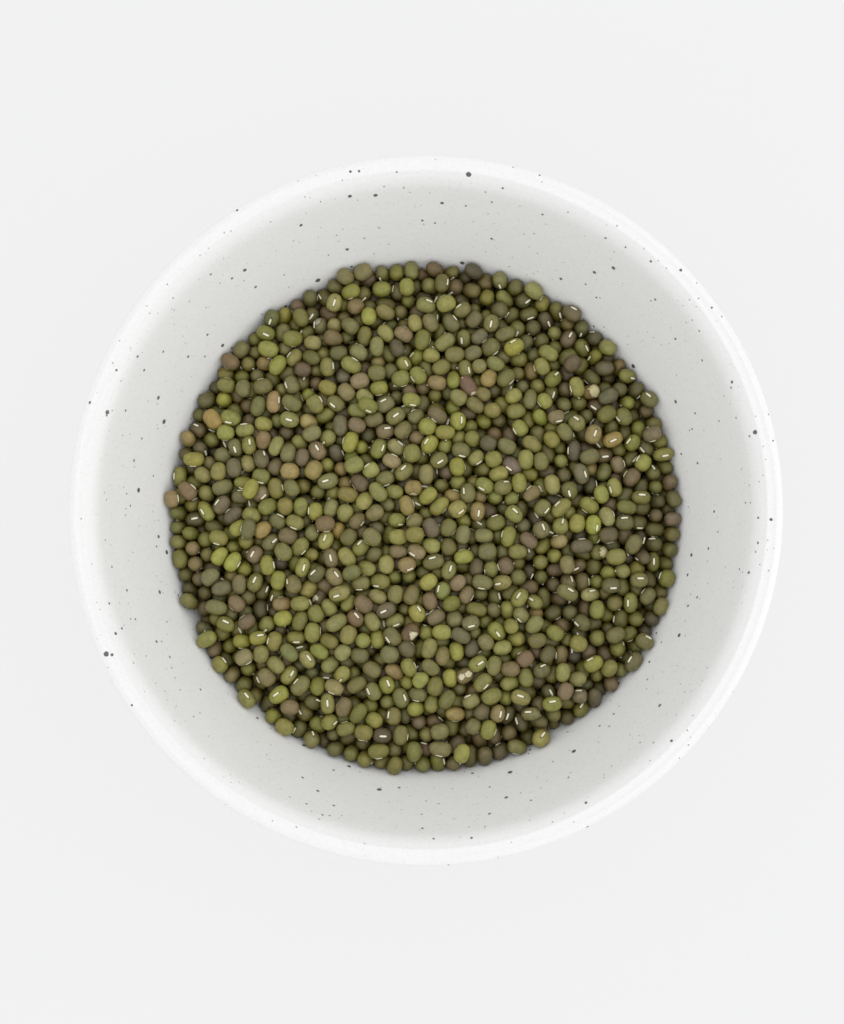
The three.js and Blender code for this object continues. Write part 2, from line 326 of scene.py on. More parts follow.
def evenly_spaced(points, step):
    length = np.concatenate([[0.0], np.cumsum(np.hypot(*np.diff(points, axis=0).T))])
    at = np.linspace(0.0, length[-1], int(length[-1] / step))
    return np.column_stack([np.interp(at, length, points[:, k]) for k in (0, 1)])


def softened(points, passes):
    """Rounds a profile's corners, with its two ends left where they are."""
    points = points.copy()
    for _ in range(passes):
        points[1:-1] = 0.25 * points[:-2] + 0.5 * points[1:-1] + 0.25 * points[2:]
    return points


def with_glaze_lines(points):
    """Raises the two low rings that the glaze leaves round the rim's top."""
    points = points.copy()
    on_top = points[:, 1] > BOWL_HEIGHT - RIM_TOP_DEPTH
    for ring in GLAZE_LINES:
        rise = GLAZE_LINE_HEIGHT * np.exp(-(((points[:, 0] - ring) / GLAZE_LINE_WIDTH) ** 2))
        points[:, 1] += np.where(on_top, rise, 0.0)
    return points


def thinned(points, bend, run):
    """Keeps the profile's points where it has turned by bend, or gone on for run."""
    steps = np.diff(points, axis=0)
    heading = np.unwrap(np.arctan2(steps[:, 1], steps[:, 0]))
    kept = [0]
    for number in range(1, len(points) - 1):
        turned_by = abs(heading[number] - heading[kept[-1]])
        if turned_by > bend or math.dist(points[number], points[kept[-1]]) > run:
            kept.append(number)
    return points[kept + [len(points) - 1]]


def mesh_object(name, vertices, faces, material):
    """A piece from vertices in millimetres and one array of faces, or a list of arrays."""
    arrays = faces if isinstance(faces, list) else [faces]
    mesh = bpy.data.meshes.new(name)
    mesh.vertices.add(len(vertices))
    mesh.vertices.foreach_set("co", (np.asarray(vertices) * MM).astype(np.float32).ravel())
    sizes = np.concatenate([np.full(len(a), a.shape[1], np.int32) for a in arrays])
    starts = np.concatenate([[0], np.cumsum(sizes)[:-1]]).astype(np.int32)
    corners = np.concatenate([a.ravel() for a in arrays]).astype(np.int32)
    mesh.loops.add(len(corners))
    mesh.loops.foreach_set("vertex_index", corners)
    mesh.polygons.add(len(sizes))
    mesh.polygons.foreach_set("loop_start", starts)
    mesh.polygons.foreach_set("use_smooth", np.ones(len(sizes), bool))
    mesh.update(calc_edges=True)
    mesh.validate()
    mesh.materials.append(material)
    piece = bpy.data.objects.new(name, mesh)
    bpy.context.scene.collection.objects.link(piece)
    return piece


def turned(profile, sides, stray=None):
    """Vertices and faces of a closed solid turned about Z. stray moves the points a little."""
    middle = profile[1:-1]
    angles = np.linspace(0.0, 2 * math.pi, sides, endpoint=False)
    radius, turn = np.meshgrid(middle[:, 0], angles)
    height = np.meshgrid(middle[:, 1], angles)[0]
    if stray is not None:
        radius, height = stray(radius, height, turn)
    ring = np.stack([radius * np.cos(turn), radius * np.sin(turn), height], axis=-1)
    ends = [[0.0, 0.0, profile[0, 1]], [0.0, 0.0, profile[-1, 1]]]
    vertices = np.vstack([ring.reshape(-1, 3), ends])
    count = len(middle)
    this = np.arange(sides)[:, None] * count
    following = np.roll(this, -1, axis=0)
    k = np.arange(count - 1)[None, :]
    quads = np.stack([this + k, following + k, following + k + 1, this + k + 1], axis=-1)
    first, last = len(vertices) - 2, len(vertices) - 1
    this, following = this[:, 0], following[:, 0]
    start = np.column_stack([np.full(sides, first), following, this])
    end = np.column_stack([np.full(sides, last), this + count - 1, following + count - 1])
    return vertices, [quads.reshape(-1, 4), start, end]


# ---- Materials ----


class Nodes:
    """Short calls that add nodes to one material."""

    def __init__(self, name):
        self.material = bpy.data.materials.new(name)
        self.material.use_nodes = True
        self.tree = self.material.node_tree
        self.shader = self.tree.nodes["Principled BSDF"]

    def add(self, kind, **settings):
        node = self.tree.nodes.new(kind)
        for key, value in settings.items():
            setattr(node, key, value)
        return node

    def link(self, source, target):
        if isinstance(source, (int, float)):
            target.default_value = source
        else:
            self.tree.links.new(source, target)

    def math(self, operation, first, second=0.0, third=0.0):
        node = self.add("ShaderNodeMath", operation=operation)
        for socket, value in zip(node.inputs, (first, second, third)):
            self.link(value, socket)
        return node.outputs[0]

    def between(self, value, low, high, new_low=0.0, new_high=1.0, smooth=False):
        node = self.add("ShaderNodeMapRange")
        node.interpolation_type = "SMOOTHSTEP" if smooth else "LINEAR"
        for key, part in (
            ("Value", value),
            ("From Min", low),
            ("From Max", high),
            ("To Min", new_low),
            ("To Max", new_high),
        ):
            self.link(part, node.inputs[key])
        return node.outputs[0]

    def mix(self, factor, first, second, blend="MIX"):
        node = self.add("ShaderNodeMix", data_type="RGBA", blend_type=blend)
        self.link(factor, node.inputs[0])
        for socket, value in ((node.inputs[6], first), (node.inputs[7], second)):
            if isinstance(value, tuple):
                socket.default_value = (*value, 1.0)
            else:
                self.link(value, socket)
        return node.outputs[2]

    def noise(self, vector, scale, detail=2.0, roughness=0.5):
        node = self.add("ShaderNodeTexNoise")
        self.link(vector, node.inputs["Vector"])
        node.inputs["Scale"].default_value = scale
        node.inputs["Detail"].default_value = detail
        node.inputs["Roughness"].default_value = roughness
        return node

    def bump(self, height, strength, distance):
        node = self.add("ShaderNodeBump")
        node.inputs["Strength"].default_value = strength
        node.inputs["Distance"].default_value = distance
        self.link(height, node.inputs["Height"])
        self.link(node.outputs[0], self.shader.inputs["Normal"])


def speck_mask(nodes, place, cells_per_mm, radius_mm, share, seed):
    """1 inside scattered specks. share is the part of the cells that hold one."""
    moved = nodes.add("ShaderNodeVectorMath", operation="ADD")
    nodes.link(place, moved.inputs[0])
    moved.inputs[1].default_value = (seed, 0.0, 0.0)
    cells = nodes.add("ShaderNodeTexVoronoi", voronoi_dimensions="3D", feature="F1")
    nodes.link(moved.outputs[0], cells.inputs["Vector"])
    cells.inputs["Scale"].default_value = cells_per_mm / MM
    chance = nodes.add("ShaderNodeSeparateColor")
    nodes.link(cells.outputs["Color"], chance.inputs[0])
    largest = radius_mm * cells_per_mm
    size = nodes.between(chance.outputs[0], 0.0, 1.0, 0.5 * largest, largest)
    present = nodes.math("LESS_THAN", chance.outputs[1], share)
    edge = nodes.math("MULTIPLY", size, 0.7)
    inside = nodes.between(cells.outputs["Distance"], edge, size, 1.0, 0.0, smooth=True)
    return nodes.math("MULTIPLY", inside, present)


def glaze_material():
    nodes = Nodes("speckled_glaze")
    place = nodes.add("ShaderNodeTexCoord").outputs["Object"]
    fine = nodes.noise(place, 1400.0, 3.0, 0.7).outputs[0]
    base = nodes.mix(nodes.between(fine, 0.3, 0.7), *GLAZE_COLOURS)

    # The specks' outlines are a little ragged, so the place that they are read at is shifted.
    ragged = nodes.noise(place, 2600.0, 1.0)
    shift = nodes.add("ShaderNodeVectorMath", operation="MULTIPLY_ADD")
    nodes.link(ragged.outputs["Color"], shift.inputs[0])
    shift.inputs[1].default_value = (SPECK_SHIFT,) * 3
    nodes.link(place, shift.inputs[2])
    shifted = shift.outputs[0]
    large = speck_mask(nodes, shifted, *LARGE_SPECKS)
    medium = speck_mask(nodes, shifted, *MEDIUM_SPECKS)
    small = speck_mask(nodes, shifted, *SMALL_SPECKS)
    dark = nodes.math("MAXIMUM", large, medium)
    speckled = nodes.mix(nodes.math("MULTIPLY", small, 0.6), base, SMALL_SPECK_COLOUR)
    speckled = nodes.mix(nodes.math("MULTIPLY", dark, 0.9), speckled, SPECK_COLOUR)

    # Bare clay where the foot ring stands.
    height = nodes.add("ShaderNodeSeparateXYZ")
    nodes.link(place, height.inputs[0])
    worn = nodes.noise(place, 300.0, 3.0)
    line = nodes.math("MULTIPLY_ADD", worn.outputs[0], 0.7 * MM, height.outputs[2])
    bare = nodes.between(line, *CLAY_TOP, 1.0, 0.0, smooth=True)
    grain = nodes.noise(place, 1500.0, 4.0, 0.7)
    clay = nodes.mix(grain.outputs[0], *CLAY_COLOURS)
    nodes.link(nodes.mix(bare, speckled, clay), nodes.shader.inputs["Base Color"])

    sheen = nodes.between(fine, 0.3, 0.7, 0.26, 0.34)
    rough = nodes.math("MAXIMUM", nodes.math("MULTIPLY", bare, 0.85), sheen)
    nodes.link(rough, nodes.shader.inputs["Roughness"])
    nodes.shader.inputs["Specular IOR Level"].default_value = 0.5
    pitted = nodes.math("MULTIPLY_ADD", dark, -0.25, nodes.math("MULTIPLY", fine, 0.12))
    gritty = nodes.math("MULTIPLY", bare, grain.outputs[0])
    nodes.bump(nodes.math("MULTIPLY_ADD", gritty, 0.6, pitted), 0.25, 0.3 * MM)
    return nodes.material


def bean_material(name, roughness):
    """Skin of a kind of bean: each bean's own colour with painted shade down between the beans,
    mottled and finely ridged.
    """
    nodes = Nodes(name)
    # This attribute holds each bean's own colour with painted shade between the beans.
    own = nodes.add("ShaderNodeAttribute", attribute_name="bean_colour_and_shade")
    local = nodes.add("ShaderNodeAttribute", attribute_name="bean_place")
    seed = nodes.math("MULTIPLY", own.outputs["Alpha"], 400.0)
    offset = nodes.add("ShaderNodeVectorMath", operation="ADD")
    nodes.link(local.outputs["Vector"], offset.inputs[0])
    nodes.link(seed, offset.inputs[1])
    place = offset.outputs[0]

    mottle = nodes.noise(place, 0.8, 3.0, 0.6).outputs[0]
    tone = nodes.mix(nodes.between(mottle, 0.3, 0.7), *MOTTLE_TONES)
    colour = nodes.mix(1.0, own.outputs["Color"], tone, "MULTIPLY")

    # Fine ridges run along the bean.
    stretch = nodes.add("ShaderNodeVectorMath", operation="MULTIPLY")
    nodes.link(place, stretch.inputs[0])
    stretch.inputs[1].default_value = (0.5, 3.4, 3.4)
    ridges = nodes.noise(stretch.outputs[0], 1.3, 4.0, 0.65).outputs[0]
    streak = nodes.mix(nodes.between(ridges, 0.35, 0.68), *STREAK_TONES)
    colour = nodes.mix(0.8, colour, streak, "MULTIPLY")

    # A dark line round the seed scar.
    parts = nodes.add("ShaderNodeSeparateXYZ")
    nodes.link(local.outputs["Vector"], parts.inputs[0])
    shifted = nodes.math("SUBTRACT", parts.outputs[0], HILUM_SHIFT)
    along = nodes.math("DIVIDE", shifted, HILUM_LENGTH / 2)
    across = nodes.math("DIVIDE", parts.outputs[2], HILUM_WIDTH / 2)
    squares = [nodes.math("POWER", part, 2.0) for part in (along, across)]
    out = nodes.math("SQRT", nodes.math("ADD", *squares))
    ring = nodes.between(out, 1.1, 1.75, 1.0, 0.0, smooth=True)
    facing = nodes.math("GREATER_THAN", parts.outputs[1], 0.0)
    ring = nodes.math("MULTIPLY", ring, facing)
    colour = nodes.mix(nodes.math("MULTIPLY", ring, 0.6), colour, HILUM_LINE_COLOUR)
    nodes.link(colour, nodes.shader.inputs["Base Color"])
    rough = nodes.between(mottle, 0.3, 0.7, roughness - 0.06, roughness + 0.08)
    nodes.link(rough, nodes.shader.inputs["Roughness"])
    nodes.shader.inputs["Specular IOR Level"].default_value = 0.42
    nodes.bump(ridges, 0.25, 0.12 * MM)
    return nodes.material


def hilum_material():
    nodes = Nodes("seed_scar")
    place = nodes.add("ShaderNodeTexCoord").outputs["Object"]
    grain = nodes.noise(place, 1800.0, 3.0)
    nodes.link(nodes.mix(grain.outputs[0], *HILUM_COLOURS), nodes.shader.inputs["Base Color"])
    nodes.shader.inputs["Roughness"].default_value = 0.55
    nodes.bump(grain.outputs[0], 0.2, 0.05 * MM)
    return nodes.material


def shaded_core_material():
    nodes = Nodes("deep_beans")
    place = nodes.add("ShaderNodeTexCoord").outputs["Object"]
    cells = nodes.noise(place, 260.0, 2.0)
    # The near-black colour is painted shade.
    nodes.link(nodes.mix(cells.outputs[0], *CORE_SHADE_COLOURS), nodes.shader.inputs["Base Color"])
    nodes.shader.inputs["Roughness"].default_value = 0.8
    return nodes.material


# ---- The bowl ----


def hand_thrown(radius, height, turn):
    """Moves a true turned surface a little, as a potter's hands do. The foot stays flat."""
    rise = np.clip((height - FOOT_RECESS) / BOWL_HEIGHT, 0.0, 1.0)
    sway = sum(share * np.sin(waves * turn + start) for share, waves, start in SWAYS)
    rings = THROWING_RINGS[0] * np.sin(height * THROWING_RINGS[1]) * rise
    inward = np.clip(radius / RIM_RADIUS, 0.0, 1.0)
    moved = radius + WOBBLE * inward * (rise * sway + rings - DRAWN_IN)
    lowered = 0.5 + 0.5 * np.sin(RIM_WAVES[0] * turn + RIM_WAVES[1])
    return moved, height - WOBBLE * rise * lowered


def make_bowl():
    profile = softened(evenly_spaced(bowl_profile(), PROFILE_STEP), SOFT_PASSES)
    profile = thinned(with_glaze_lines(profile), PROFILE_BEND, PROFILE_RUN)
    vertices, faces = turned(profile, BOWL_SIDES, hand_thrown)
    bowl = mesh_object("stoneware_bowl", vertices, faces, glaze_material())
    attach(bowl, "root")
    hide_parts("bowl")


make_bowl()


# ---- How the beans lie ----


def heap_height(radius):
    """Height of the tops of the beans at a distance from the axis."""
    edge = wall_radius(BOWL_HEIGHT - HEAP_EDGE_HEIGHT)
    return HEAP_EDGE_HEIGHT + HEAP_DOME * (1.0 - (radius / edge) ** 2)


def core_height(radius):
    return heap_height(radius) - BED_DEPTH


def close_pairs(points, owner, reach):
    """Index pairs of points nearer than reach that belong to different beans."""
    cell = np.floor((points - points.min(axis=0)) / reach).astype(np.int64) + 1
    size = cell.max(axis=0) + 2
    key = (cell[:, 0] * size[1] + cell[:, 1]) * size[2] + cell[:, 2]
    order = np.argsort(key, kind="stable")
    in_order = key[order]
    here = np.arange(len(points))
    found = []
    for dx in (0, 1):
        for dy in (-1, 0, 1):
            for dz in (-1, 0, 1):
                if (dx, dy, dz) < (0, 0, 0):
                    continue
                target = key + (dx * size[1] + dy) * size[2] + dz
                low = np.searchsorted(in_order, target, "left")
                count = np.searchsorted(in_order, target, "right") - low
                first = np.repeat(here, count)
                step = np.arange(count.sum()) - np.repeat(np.cumsum(count) - count, count)
                second = order[np.repeat(low, count) + step]
                if (dx, dy, dz) == (0, 0, 0):
                    keep = first < second
                    first, second = first[keep], second[keep]
                found.append(np.column_stack([first, second]))
    pairs = np.vstack(found)
    apart = owner[pairs[:, 0]] != owner[pairs[:, 1]]
    gap = points[pairs[:, 0]] - points[pairs[:, 1]]
    near = np.einsum("ij,ij->i", gap, gap) < reach * reach
    return pairs[apart & near]


def keep_inside(points, radius):
    """Moves spheres out of the bowl's wall and up off the core."""
    distance = np.maximum(np.hypot(points[:, 0], points[:, 1]), 1e-6)
    out_r = distance - ROUND_CENTRE_RADIUS
    out_z = points[:, 2] - ROUND_CENTRE_HEIGHT
    turned_in = np.arctan2(out_z, out_r) < TURN_ANGLE
    from_centre = np.maximum(np.hypot(out_r, out_z), 1e-6)
    normal_r = np.where(turned_in, out_r / from_centre, math.cos(TURN_ANGLE))
    normal_z = np.where(turned_in, out_z / from_centre, math.sin(TURN_ANGLE))
    past = out_r * normal_r + out_z * normal_z + radius + WALL_GAP - BOTTOM_ROUND
    past = np.maximum(past, 0.0)
    points[:, 0] -= points[:, 0] / distance * past * normal_r
    points[:, 1] -= points[:, 1] / distance * past * normal_r
    points[:, 2] -= past * normal_z
    floor = core_height(np.hypot(points[:, 0], points[:, 1])) + radius
    np.maximum(points[:, 2], floor, out=points[:, 2])


def settle(half_length, radius, random):
    """Lets beans fall on the core until they rest. A bean is two joined spheres here; the
    result is the places of the two, (bean, end, xyz)."""
    count = len(radius)
    columns = np.arange(-START_SQUARE, START_SQUARE + 0.1, START_SPACING)
    grid = np.array([(x, y) for x in columns for y in columns if math.hypot(x, y) < START_REACH])
    layer, slot = np.divmod(np.arange(count), len(grid))
    across, up = START_STRAY
    centre = np.empty((count, 3))
    centre[:, :2] = grid[slot] + random.uniform(-across, across, (count, 2))
    centre[:, 2] = core_height(np.hypot(centre[:, 0], centre[:, 1])) + START_RISE
    centre[:, 2] += layer * START_LAYER
    centre[:, 2] += random.uniform(-up, up, count)
    axis = random.normal(size=(count, 3))
    axis /= np.linalg.norm(axis, axis=1, keepdims=True)
    half = axis * half_length[:, None]
    points = np.stack([centre - half, centre + half], axis=1).reshape(-1, 3)
    owner = np.repeat(np.arange(count), 2)
    sphere = np.repeat(radius, 2)
    speed = np.zeros_like(points)
    for step in range(SETTLE_STEPS):
        before = points.copy()
        speed[:, 2] -= GRAVITY * SETTLE_TICK
        points += speed * SETTLE_TICK
        if step % SEARCH_EVERY == 0:
            first, second = close_pairs(points, owner, 2 * radius.max() + SEARCH_MARGIN).T
            reach = sphere[first] + sphere[second]
        for _ in range(SETTLE_PASSES):
            gap = points[first] - points[second]
            length = np.sqrt(np.einsum("ij,ij->i", gap, gap)) + 1e-9
            overlap = np.maximum(reach - length, 0.0)
            push = gap * (0.5 * overlap / length)[:, None]
            touching = (overlap > 0).astype(float)
            contacts = np.bincount(first, touching, len(points))
            contacts += np.bincount(second, touching, len(points))
            ease = SETTLE_EASE / np.maximum(contacts, SETTLE_EASE)
            for k in range(3):
                moved = np.bincount(first, push[:, k], len(points))
                moved -= np.bincount(second, push[:, k], len(points))
                points[:, k] += moved * ease
            keep_inside(points, sphere)
            pair = points.reshape(-1, 2, 3)
            middle = pair.mean(axis=1)
            along = pair[:, 1] - pair[:, 0]
            along *= (half_length / np.maximum(np.linalg.norm(along, axis=1), 1e-9))[:, None]
            pair[:, 0] = middle - along
            pair[:, 1] = middle + along
        speed = (points - before) / SETTLE_TICK * SETTLE_DAMPING
    return points.reshape(-1, 2, 3)


# ---- Meshes of the beans ----


def cube_sphere(cells):
    """Unit directions and quads of a cube's faces blown up to a ball."""
    line = np.tan(np.linspace(-1.0, 1.0, cells + 1) * math.pi / 4)
    u, v = np.meshgrid(line, line, indexing="ij")
    one = np.ones_like(u)
    sides = [(one, u, v), (-one, v, u), (v, one, u), (u, -one, v), (u, v, one), (v, u, -one)]
    points, quads = [], []
    corner = np.arange((cells + 1) ** 2).reshape(cells + 1, cells + 1)
    around = [corner[:-1, :-1], corner[1:, :-1], corner[1:, 1:], corner[:-1, 1:]]
    square = np.stack(around, axis=-1).reshape(-1, 4)
    for number, side in enumerate(sides):
        points.append(np.stack(side, axis=-1).reshape(-1, 3))
        quads.append(square + number * corner.size)
    points = np.vstack(points)
    points /= np.linalg.norm(points, axis=1, keepdims=True)
    unique, inverse = np.unique(np.round(points, 6), axis=0, return_inverse=True)
    return unique, inverse.reshape(-1)[np.vstack(quads)]


def bean_points(direction, size, uneven):
    """Points on beans in their own frames, x along the length and the seed scar at +y.

    direction is (point, xyz); size is (bean, length width thickness); uneven is (bean, 3)."""
    across = np.hypot(direction[:, 1], direction[:, 2])
    reach = (np.abs(direction[:, 0]) ** BARREL + across ** BARREL) ** (-1.0 / BARREL)
    unit = direction * reach[:, None]
    points = unit[None] * size[:, None, :] / 2
    taper, bend, dent = (uneven[:, k, None] for k in range(3))
    x = unit[None, :, 0]
    points[:, :, 1:] *= (1.0 + taper * x)[:, :, None]
    scar_side = np.clip(unit[None, :, 1], 0.0, None) ** 2
    points[:, :, 1] -= scar_side * (dent * (1.0 - x * x))
    points[:, :, 1] -= bend * x * x
    return points


def hilum_patch():
    """Places along and across, and the rise, of the points of a low blunt seed scar, from its
    rim ring by ring to its middle."""
    ring_size, ring_rise = np.array(HILUM_RINGS).T
    turn = np.linspace(0.0, 2 * math.pi, HILUM_SIDES, endpoint=False)
    cos, sin = np.cos(turn), np.sin(turn)
    powers = np.abs(cos) ** HILUM_BLUNTNESS + np.abs(sin) ** HILUM_BLUNTNESS
    blunt = powers ** (-1.0 / HILUM_BLUNTNESS)
    x = HILUM_SHIFT + np.outer(ring_size, blunt * cos).ravel() * HILUM_LENGTH / 2
    z = np.outer(ring_size, blunt * sin).ravel() * HILUM_WIDTH / 2
    rise = np.repeat(ring_rise, HILUM_SIDES)
    return np.append(x, HILUM_SHIFT), np.append(z, 0.0), np.append(rise, ring_rise[-1])


def turn_matrices(axis, roll):
    """Rotations whose x column lies along each axis, turned about it by roll."""
    axis = axis / np.linalg.norm(axis, axis=1, keepdims=True)
    helper = np.where(np.abs(axis[:, 2:3]) < 0.9, [[0.0, 0.0, 1.0]], [[0.0, 1.0, 0.0]])
    side = np.cross(helper, axis)
    side /= np.linalg.norm(side, axis=1, keepdims=True)
    up = np.cross(axis, side)
    y = side * np.cos(roll)[:, None] + up * np.sin(roll)[:, None]
    return np.stack([axis, y, np.cross(axis, y)], axis=-1)


def linear_colour(hue, saturation, value):
    """Linear light from hue, saturation and value arrays."""
    k = (np.array([5.0, 3.0, 1.0])[None] + hue[:, None] * 6.0) % 6.0
    shade = np.clip(np.minimum(k, 4.0 - k), 0.0, 1.0)
    display = value[:, None] * (1.0 - saturation[:, None] * shade)
    return np.where(display <= 0.04045, display / 12.92, ((display + 0.055) / 1.055) ** 2.4)


def add_attribute(piece, name, kind, values):
    attribute = piece.data.attributes.new(name, kind, "POINT")
    field = "color" if kind == "FLOAT_COLOR" else "vector"
    attribute.data.foreach_set(field, values.astype(np.float32).ravel())


def painted_crevice_shade(points):
    """Painted shade: darker and yellower skin down between the beans, by the depth under the
    heap's top.
    """
    below = heap_height(np.hypot(points[..., 0], points[..., 1])) - points[..., 2]
    share = np.clip((below - PAINTED_SHADE_FROM) / (PAINTED_SHADE_TO - PAINTED_SHADE_FROM), 0.0, 1.0)
    share = (share * share * (3.0 - 2.0 * share))[..., None]
    return 1.0 - share * (1.0 - np.array(PAINTED_SHADE_COLOUR))


def in_place(local, chosen, beans):
    """The chosen beans' points, (bean, point, xyz), turned and moved to where the beans lie."""
    turned_points = np.einsum("bij,bpj->bpi", beans["turn"][chosen], local)
    return turned_points + beans["centre"][chosen][:, None]


def joined_beans(name, detail, chosen, beans, roughness):
    """One piece that holds the chosen beans."""
    direction, quads = cube_sphere(detail)
    local = bean_points(direction, beans["size"][chosen], beans["uneven"][chosen])
    world = in_place(local, chosen, beans)
    count = len(chosen)
    faces = (quads[None] + np.arange(count)[:, None, None] * len(direction)).reshape(-1, 4)
    piece = mesh_object(name, world.reshape(-1, 3), faces, bean_material(name, roughness))
    colour = np.repeat(beans["colour"][chosen][:, None], len(direction), axis=1)
    # Painted shade in the crevices darkens each bean's colour here.
    colour = colour * painted_crevice_shade(world)
    seed = np.broadcast_to(beans["seed"][chosen][:, None, None], (*colour.shape[:2], 1))
    add_attribute(piece, "bean_colour_and_shade", "FLOAT_COLOR", np.concatenate([colour, seed], axis=2))
    add_attribute(piece, "bean_place", "FLOAT_VECTOR", local.reshape(-1, 3))
    return piece


def make_hilums(chosen, beans):
    x, z, rise = hilum_patch()
    size = beans["size"][chosen]
    ux = x[None] / (size[:, :1] / 2)
    across = (1.0 - np.abs(ux) ** BARREL) ** (1.0 / BARREL)
    reach = np.sqrt(np.maximum(across ** 2 - (z[None] / (size[:, 2:] / 2)) ** 2, 0.0))
    taper, bend, dent = (beans["uneven"][chosen][:, k, None] for k in range(3))
    y = size[:, 1:2] / 2 * reach * (1.0 + taper * ux)
    y = y - reach ** 2 * dent * (1.0 - ux * ux) - bend * ux * ux + rise[None]
    local = np.stack([np.broadcast_to(x, y.shape), y, np.broadcast_to(z, y.shape)], axis=-1)
    world = in_place(local, chosen, beans)
    k = np.arange(HILUM_SIDES)
    after = (k + 1) % HILUM_SIDES
    last = (len(HILUM_RINGS) - 1) * HILUM_SIDES
    outer = np.arange(0, last, HILUM_SIDES)[:, None]
    inner = outer + HILUM_SIDES
    quads = np.stack([outer + k, inner + k, inner + after, outer + after], axis=-1)
    tip = np.column_stack([last + k, np.full(HILUM_SIDES, last + HILUM_SIDES), last + after])
    shift = np.arange(len(chosen))[:, None, None] * len(x)
    parts = (quads.reshape(-1, 4), tip, k[None])
    faces = [(part[None] + shift).reshape(-1, part.shape[1]) for part in parts]
    return mesh_object("seed_scars", world.reshape(-1, 3), faces, hilum_material())


def grow_beans():
    random = np.random.default_rng(SEED)
    length = np.clip(random.normal(*BEAN_LENGTH, BEAN_COUNT), *BEAN_LENGTH_LIMITS)
    width = np.clip(random.normal(*BEAN_WIDTH, BEAN_COUNT), *BEAN_WIDTH_LIMITS)
    thickness = width * random.uniform(*BEAN_FLATNESS, BEAN_COUNT)
    radius = 0.5 * (width + thickness) / 2 * SPHERE_SIZE
    half_length = np.maximum(length / 2 - radius, SPHERE_LEAST) * SPHERE_SPREAD
    ends = settle(half_length, radius, random)
    roll = random.uniform(0, 2 * math.pi, BEAN_COUNT)
    beans = {
        "size": np.column_stack([length, width, thickness]),
        "centre": ends.mean(axis=1),
        "turn": turn_matrices(ends[:, 1] - ends[:, 0], roll),
        "uneven": np.column_stack([
            random.normal(*BEAN_TAPER, BEAN_COUNT),
            random.normal(*BEAN_BEND, BEAN_COUNT),
            random.uniform(*BEAN_DENT, BEAN_COUNT),
        ]),
        "seed": random.uniform(0.0, 1.0, BEAN_COUNT),
    }
    shares = np.array([kind[0] for kind in KINDS.values()])
    beans["kind"] = random.choice(len(KINDS), BEAN_COUNT, p=shares / shares.sum())
    draws = random.normal(size=(BEAN_COUNT, 3))
    tints = np.array([kind[1:] for kind in KINDS.values()])[beans["kind"]]
    hsv = tints[:, :, 0] + tints[:, :, 1] * draws
    beans["colour"] = linear_colour(hsv[:, 0], hsv[:, 1], np.clip(hsv[:, 2], *VALUE_LIMITS))
    return beans


def photo_place(right, down, height):
    """Where the line of sight through a pixel of the photograph meets a height."""
    distance = FOCAL_PIXELS / RIM_SCALE
    sine, cosine = math.sin(CAMERA_ELEVATION), math.cos(CAMERA_ELEVATION)
    eye = np.array([-RIM_RIGHT_OF_CENTRE, -RIM_ABOVE_CENTRE, 0.0]) / RIM_SCALE
    eye += np.array([0.0, -cosine, sine]) * distance + np.array([0.0, 0.0, BOWL_HEIGHT])
    x = (right - PHOTO_WIDTH / 2) / FOCAL_PIXELS
    y = (LONG_SIDE / 2 - down) / FOCAL_PIXELS
    sight = np.array([x, y * sine + cosine, y * cosine - sine])
    return (eye + sight * (height - eye[2]) / sight[2])[:2]


def choose_odd(beans):
    """For each odd bean, the number of the settled bean in view that lies nearest its place."""
    centre = beans["centre"]
    apart = np.hypot(*(centre[:, None, k] - centre[None, :, k] for k in (0, 1)))
    covered = (apart < COVER_REACH) & (centre[None, :, 2] > centre[:, None, 2] + COVER_RISE)
    in_view = ~covered.any(axis=1)
    chosen = []
    for odd in ODD_BEANS:
        place = photo_place(*odd["place"], HEAP_EDGE_HEIGHT)
        away = np.hypot(centre[:, 0] - place[0], centre[:, 1] - place[1])
        away[~in_view] = np.inf
        away[chosen] = np.inf
        chosen.append(int(away.argmin()))
    return np.array(chosen)


def reshape_odd(beans, chosen):
    """Gives the chosen beans their own size, lie and colour."""
    for number, odd in zip(chosen, ODD_BEANS):
        lie = math.radians(odd["lie"])
        along = np.array([math.cos(lie), math.sin(lie), 0.0])
        side = np.array([-math.sin(lie), math.cos(lie), 0.0])
        scar = math.radians(odd["scar"])
        y = side * math.cos(scar) + np.array([0.0, 0.0, math.sin(scar)])
        beans["turn"][number] = np.stack([along, y, np.cross(along, y)], axis=-1)
        length, width = odd["size"]
        beans["size"][number] = (length, width, width * ODD_FLATNESS)
        hue, saturation, value = (np.array([v]) for v in odd["skin"])
        beans["colour"][number] = linear_colour(hue, saturation, value)[0]


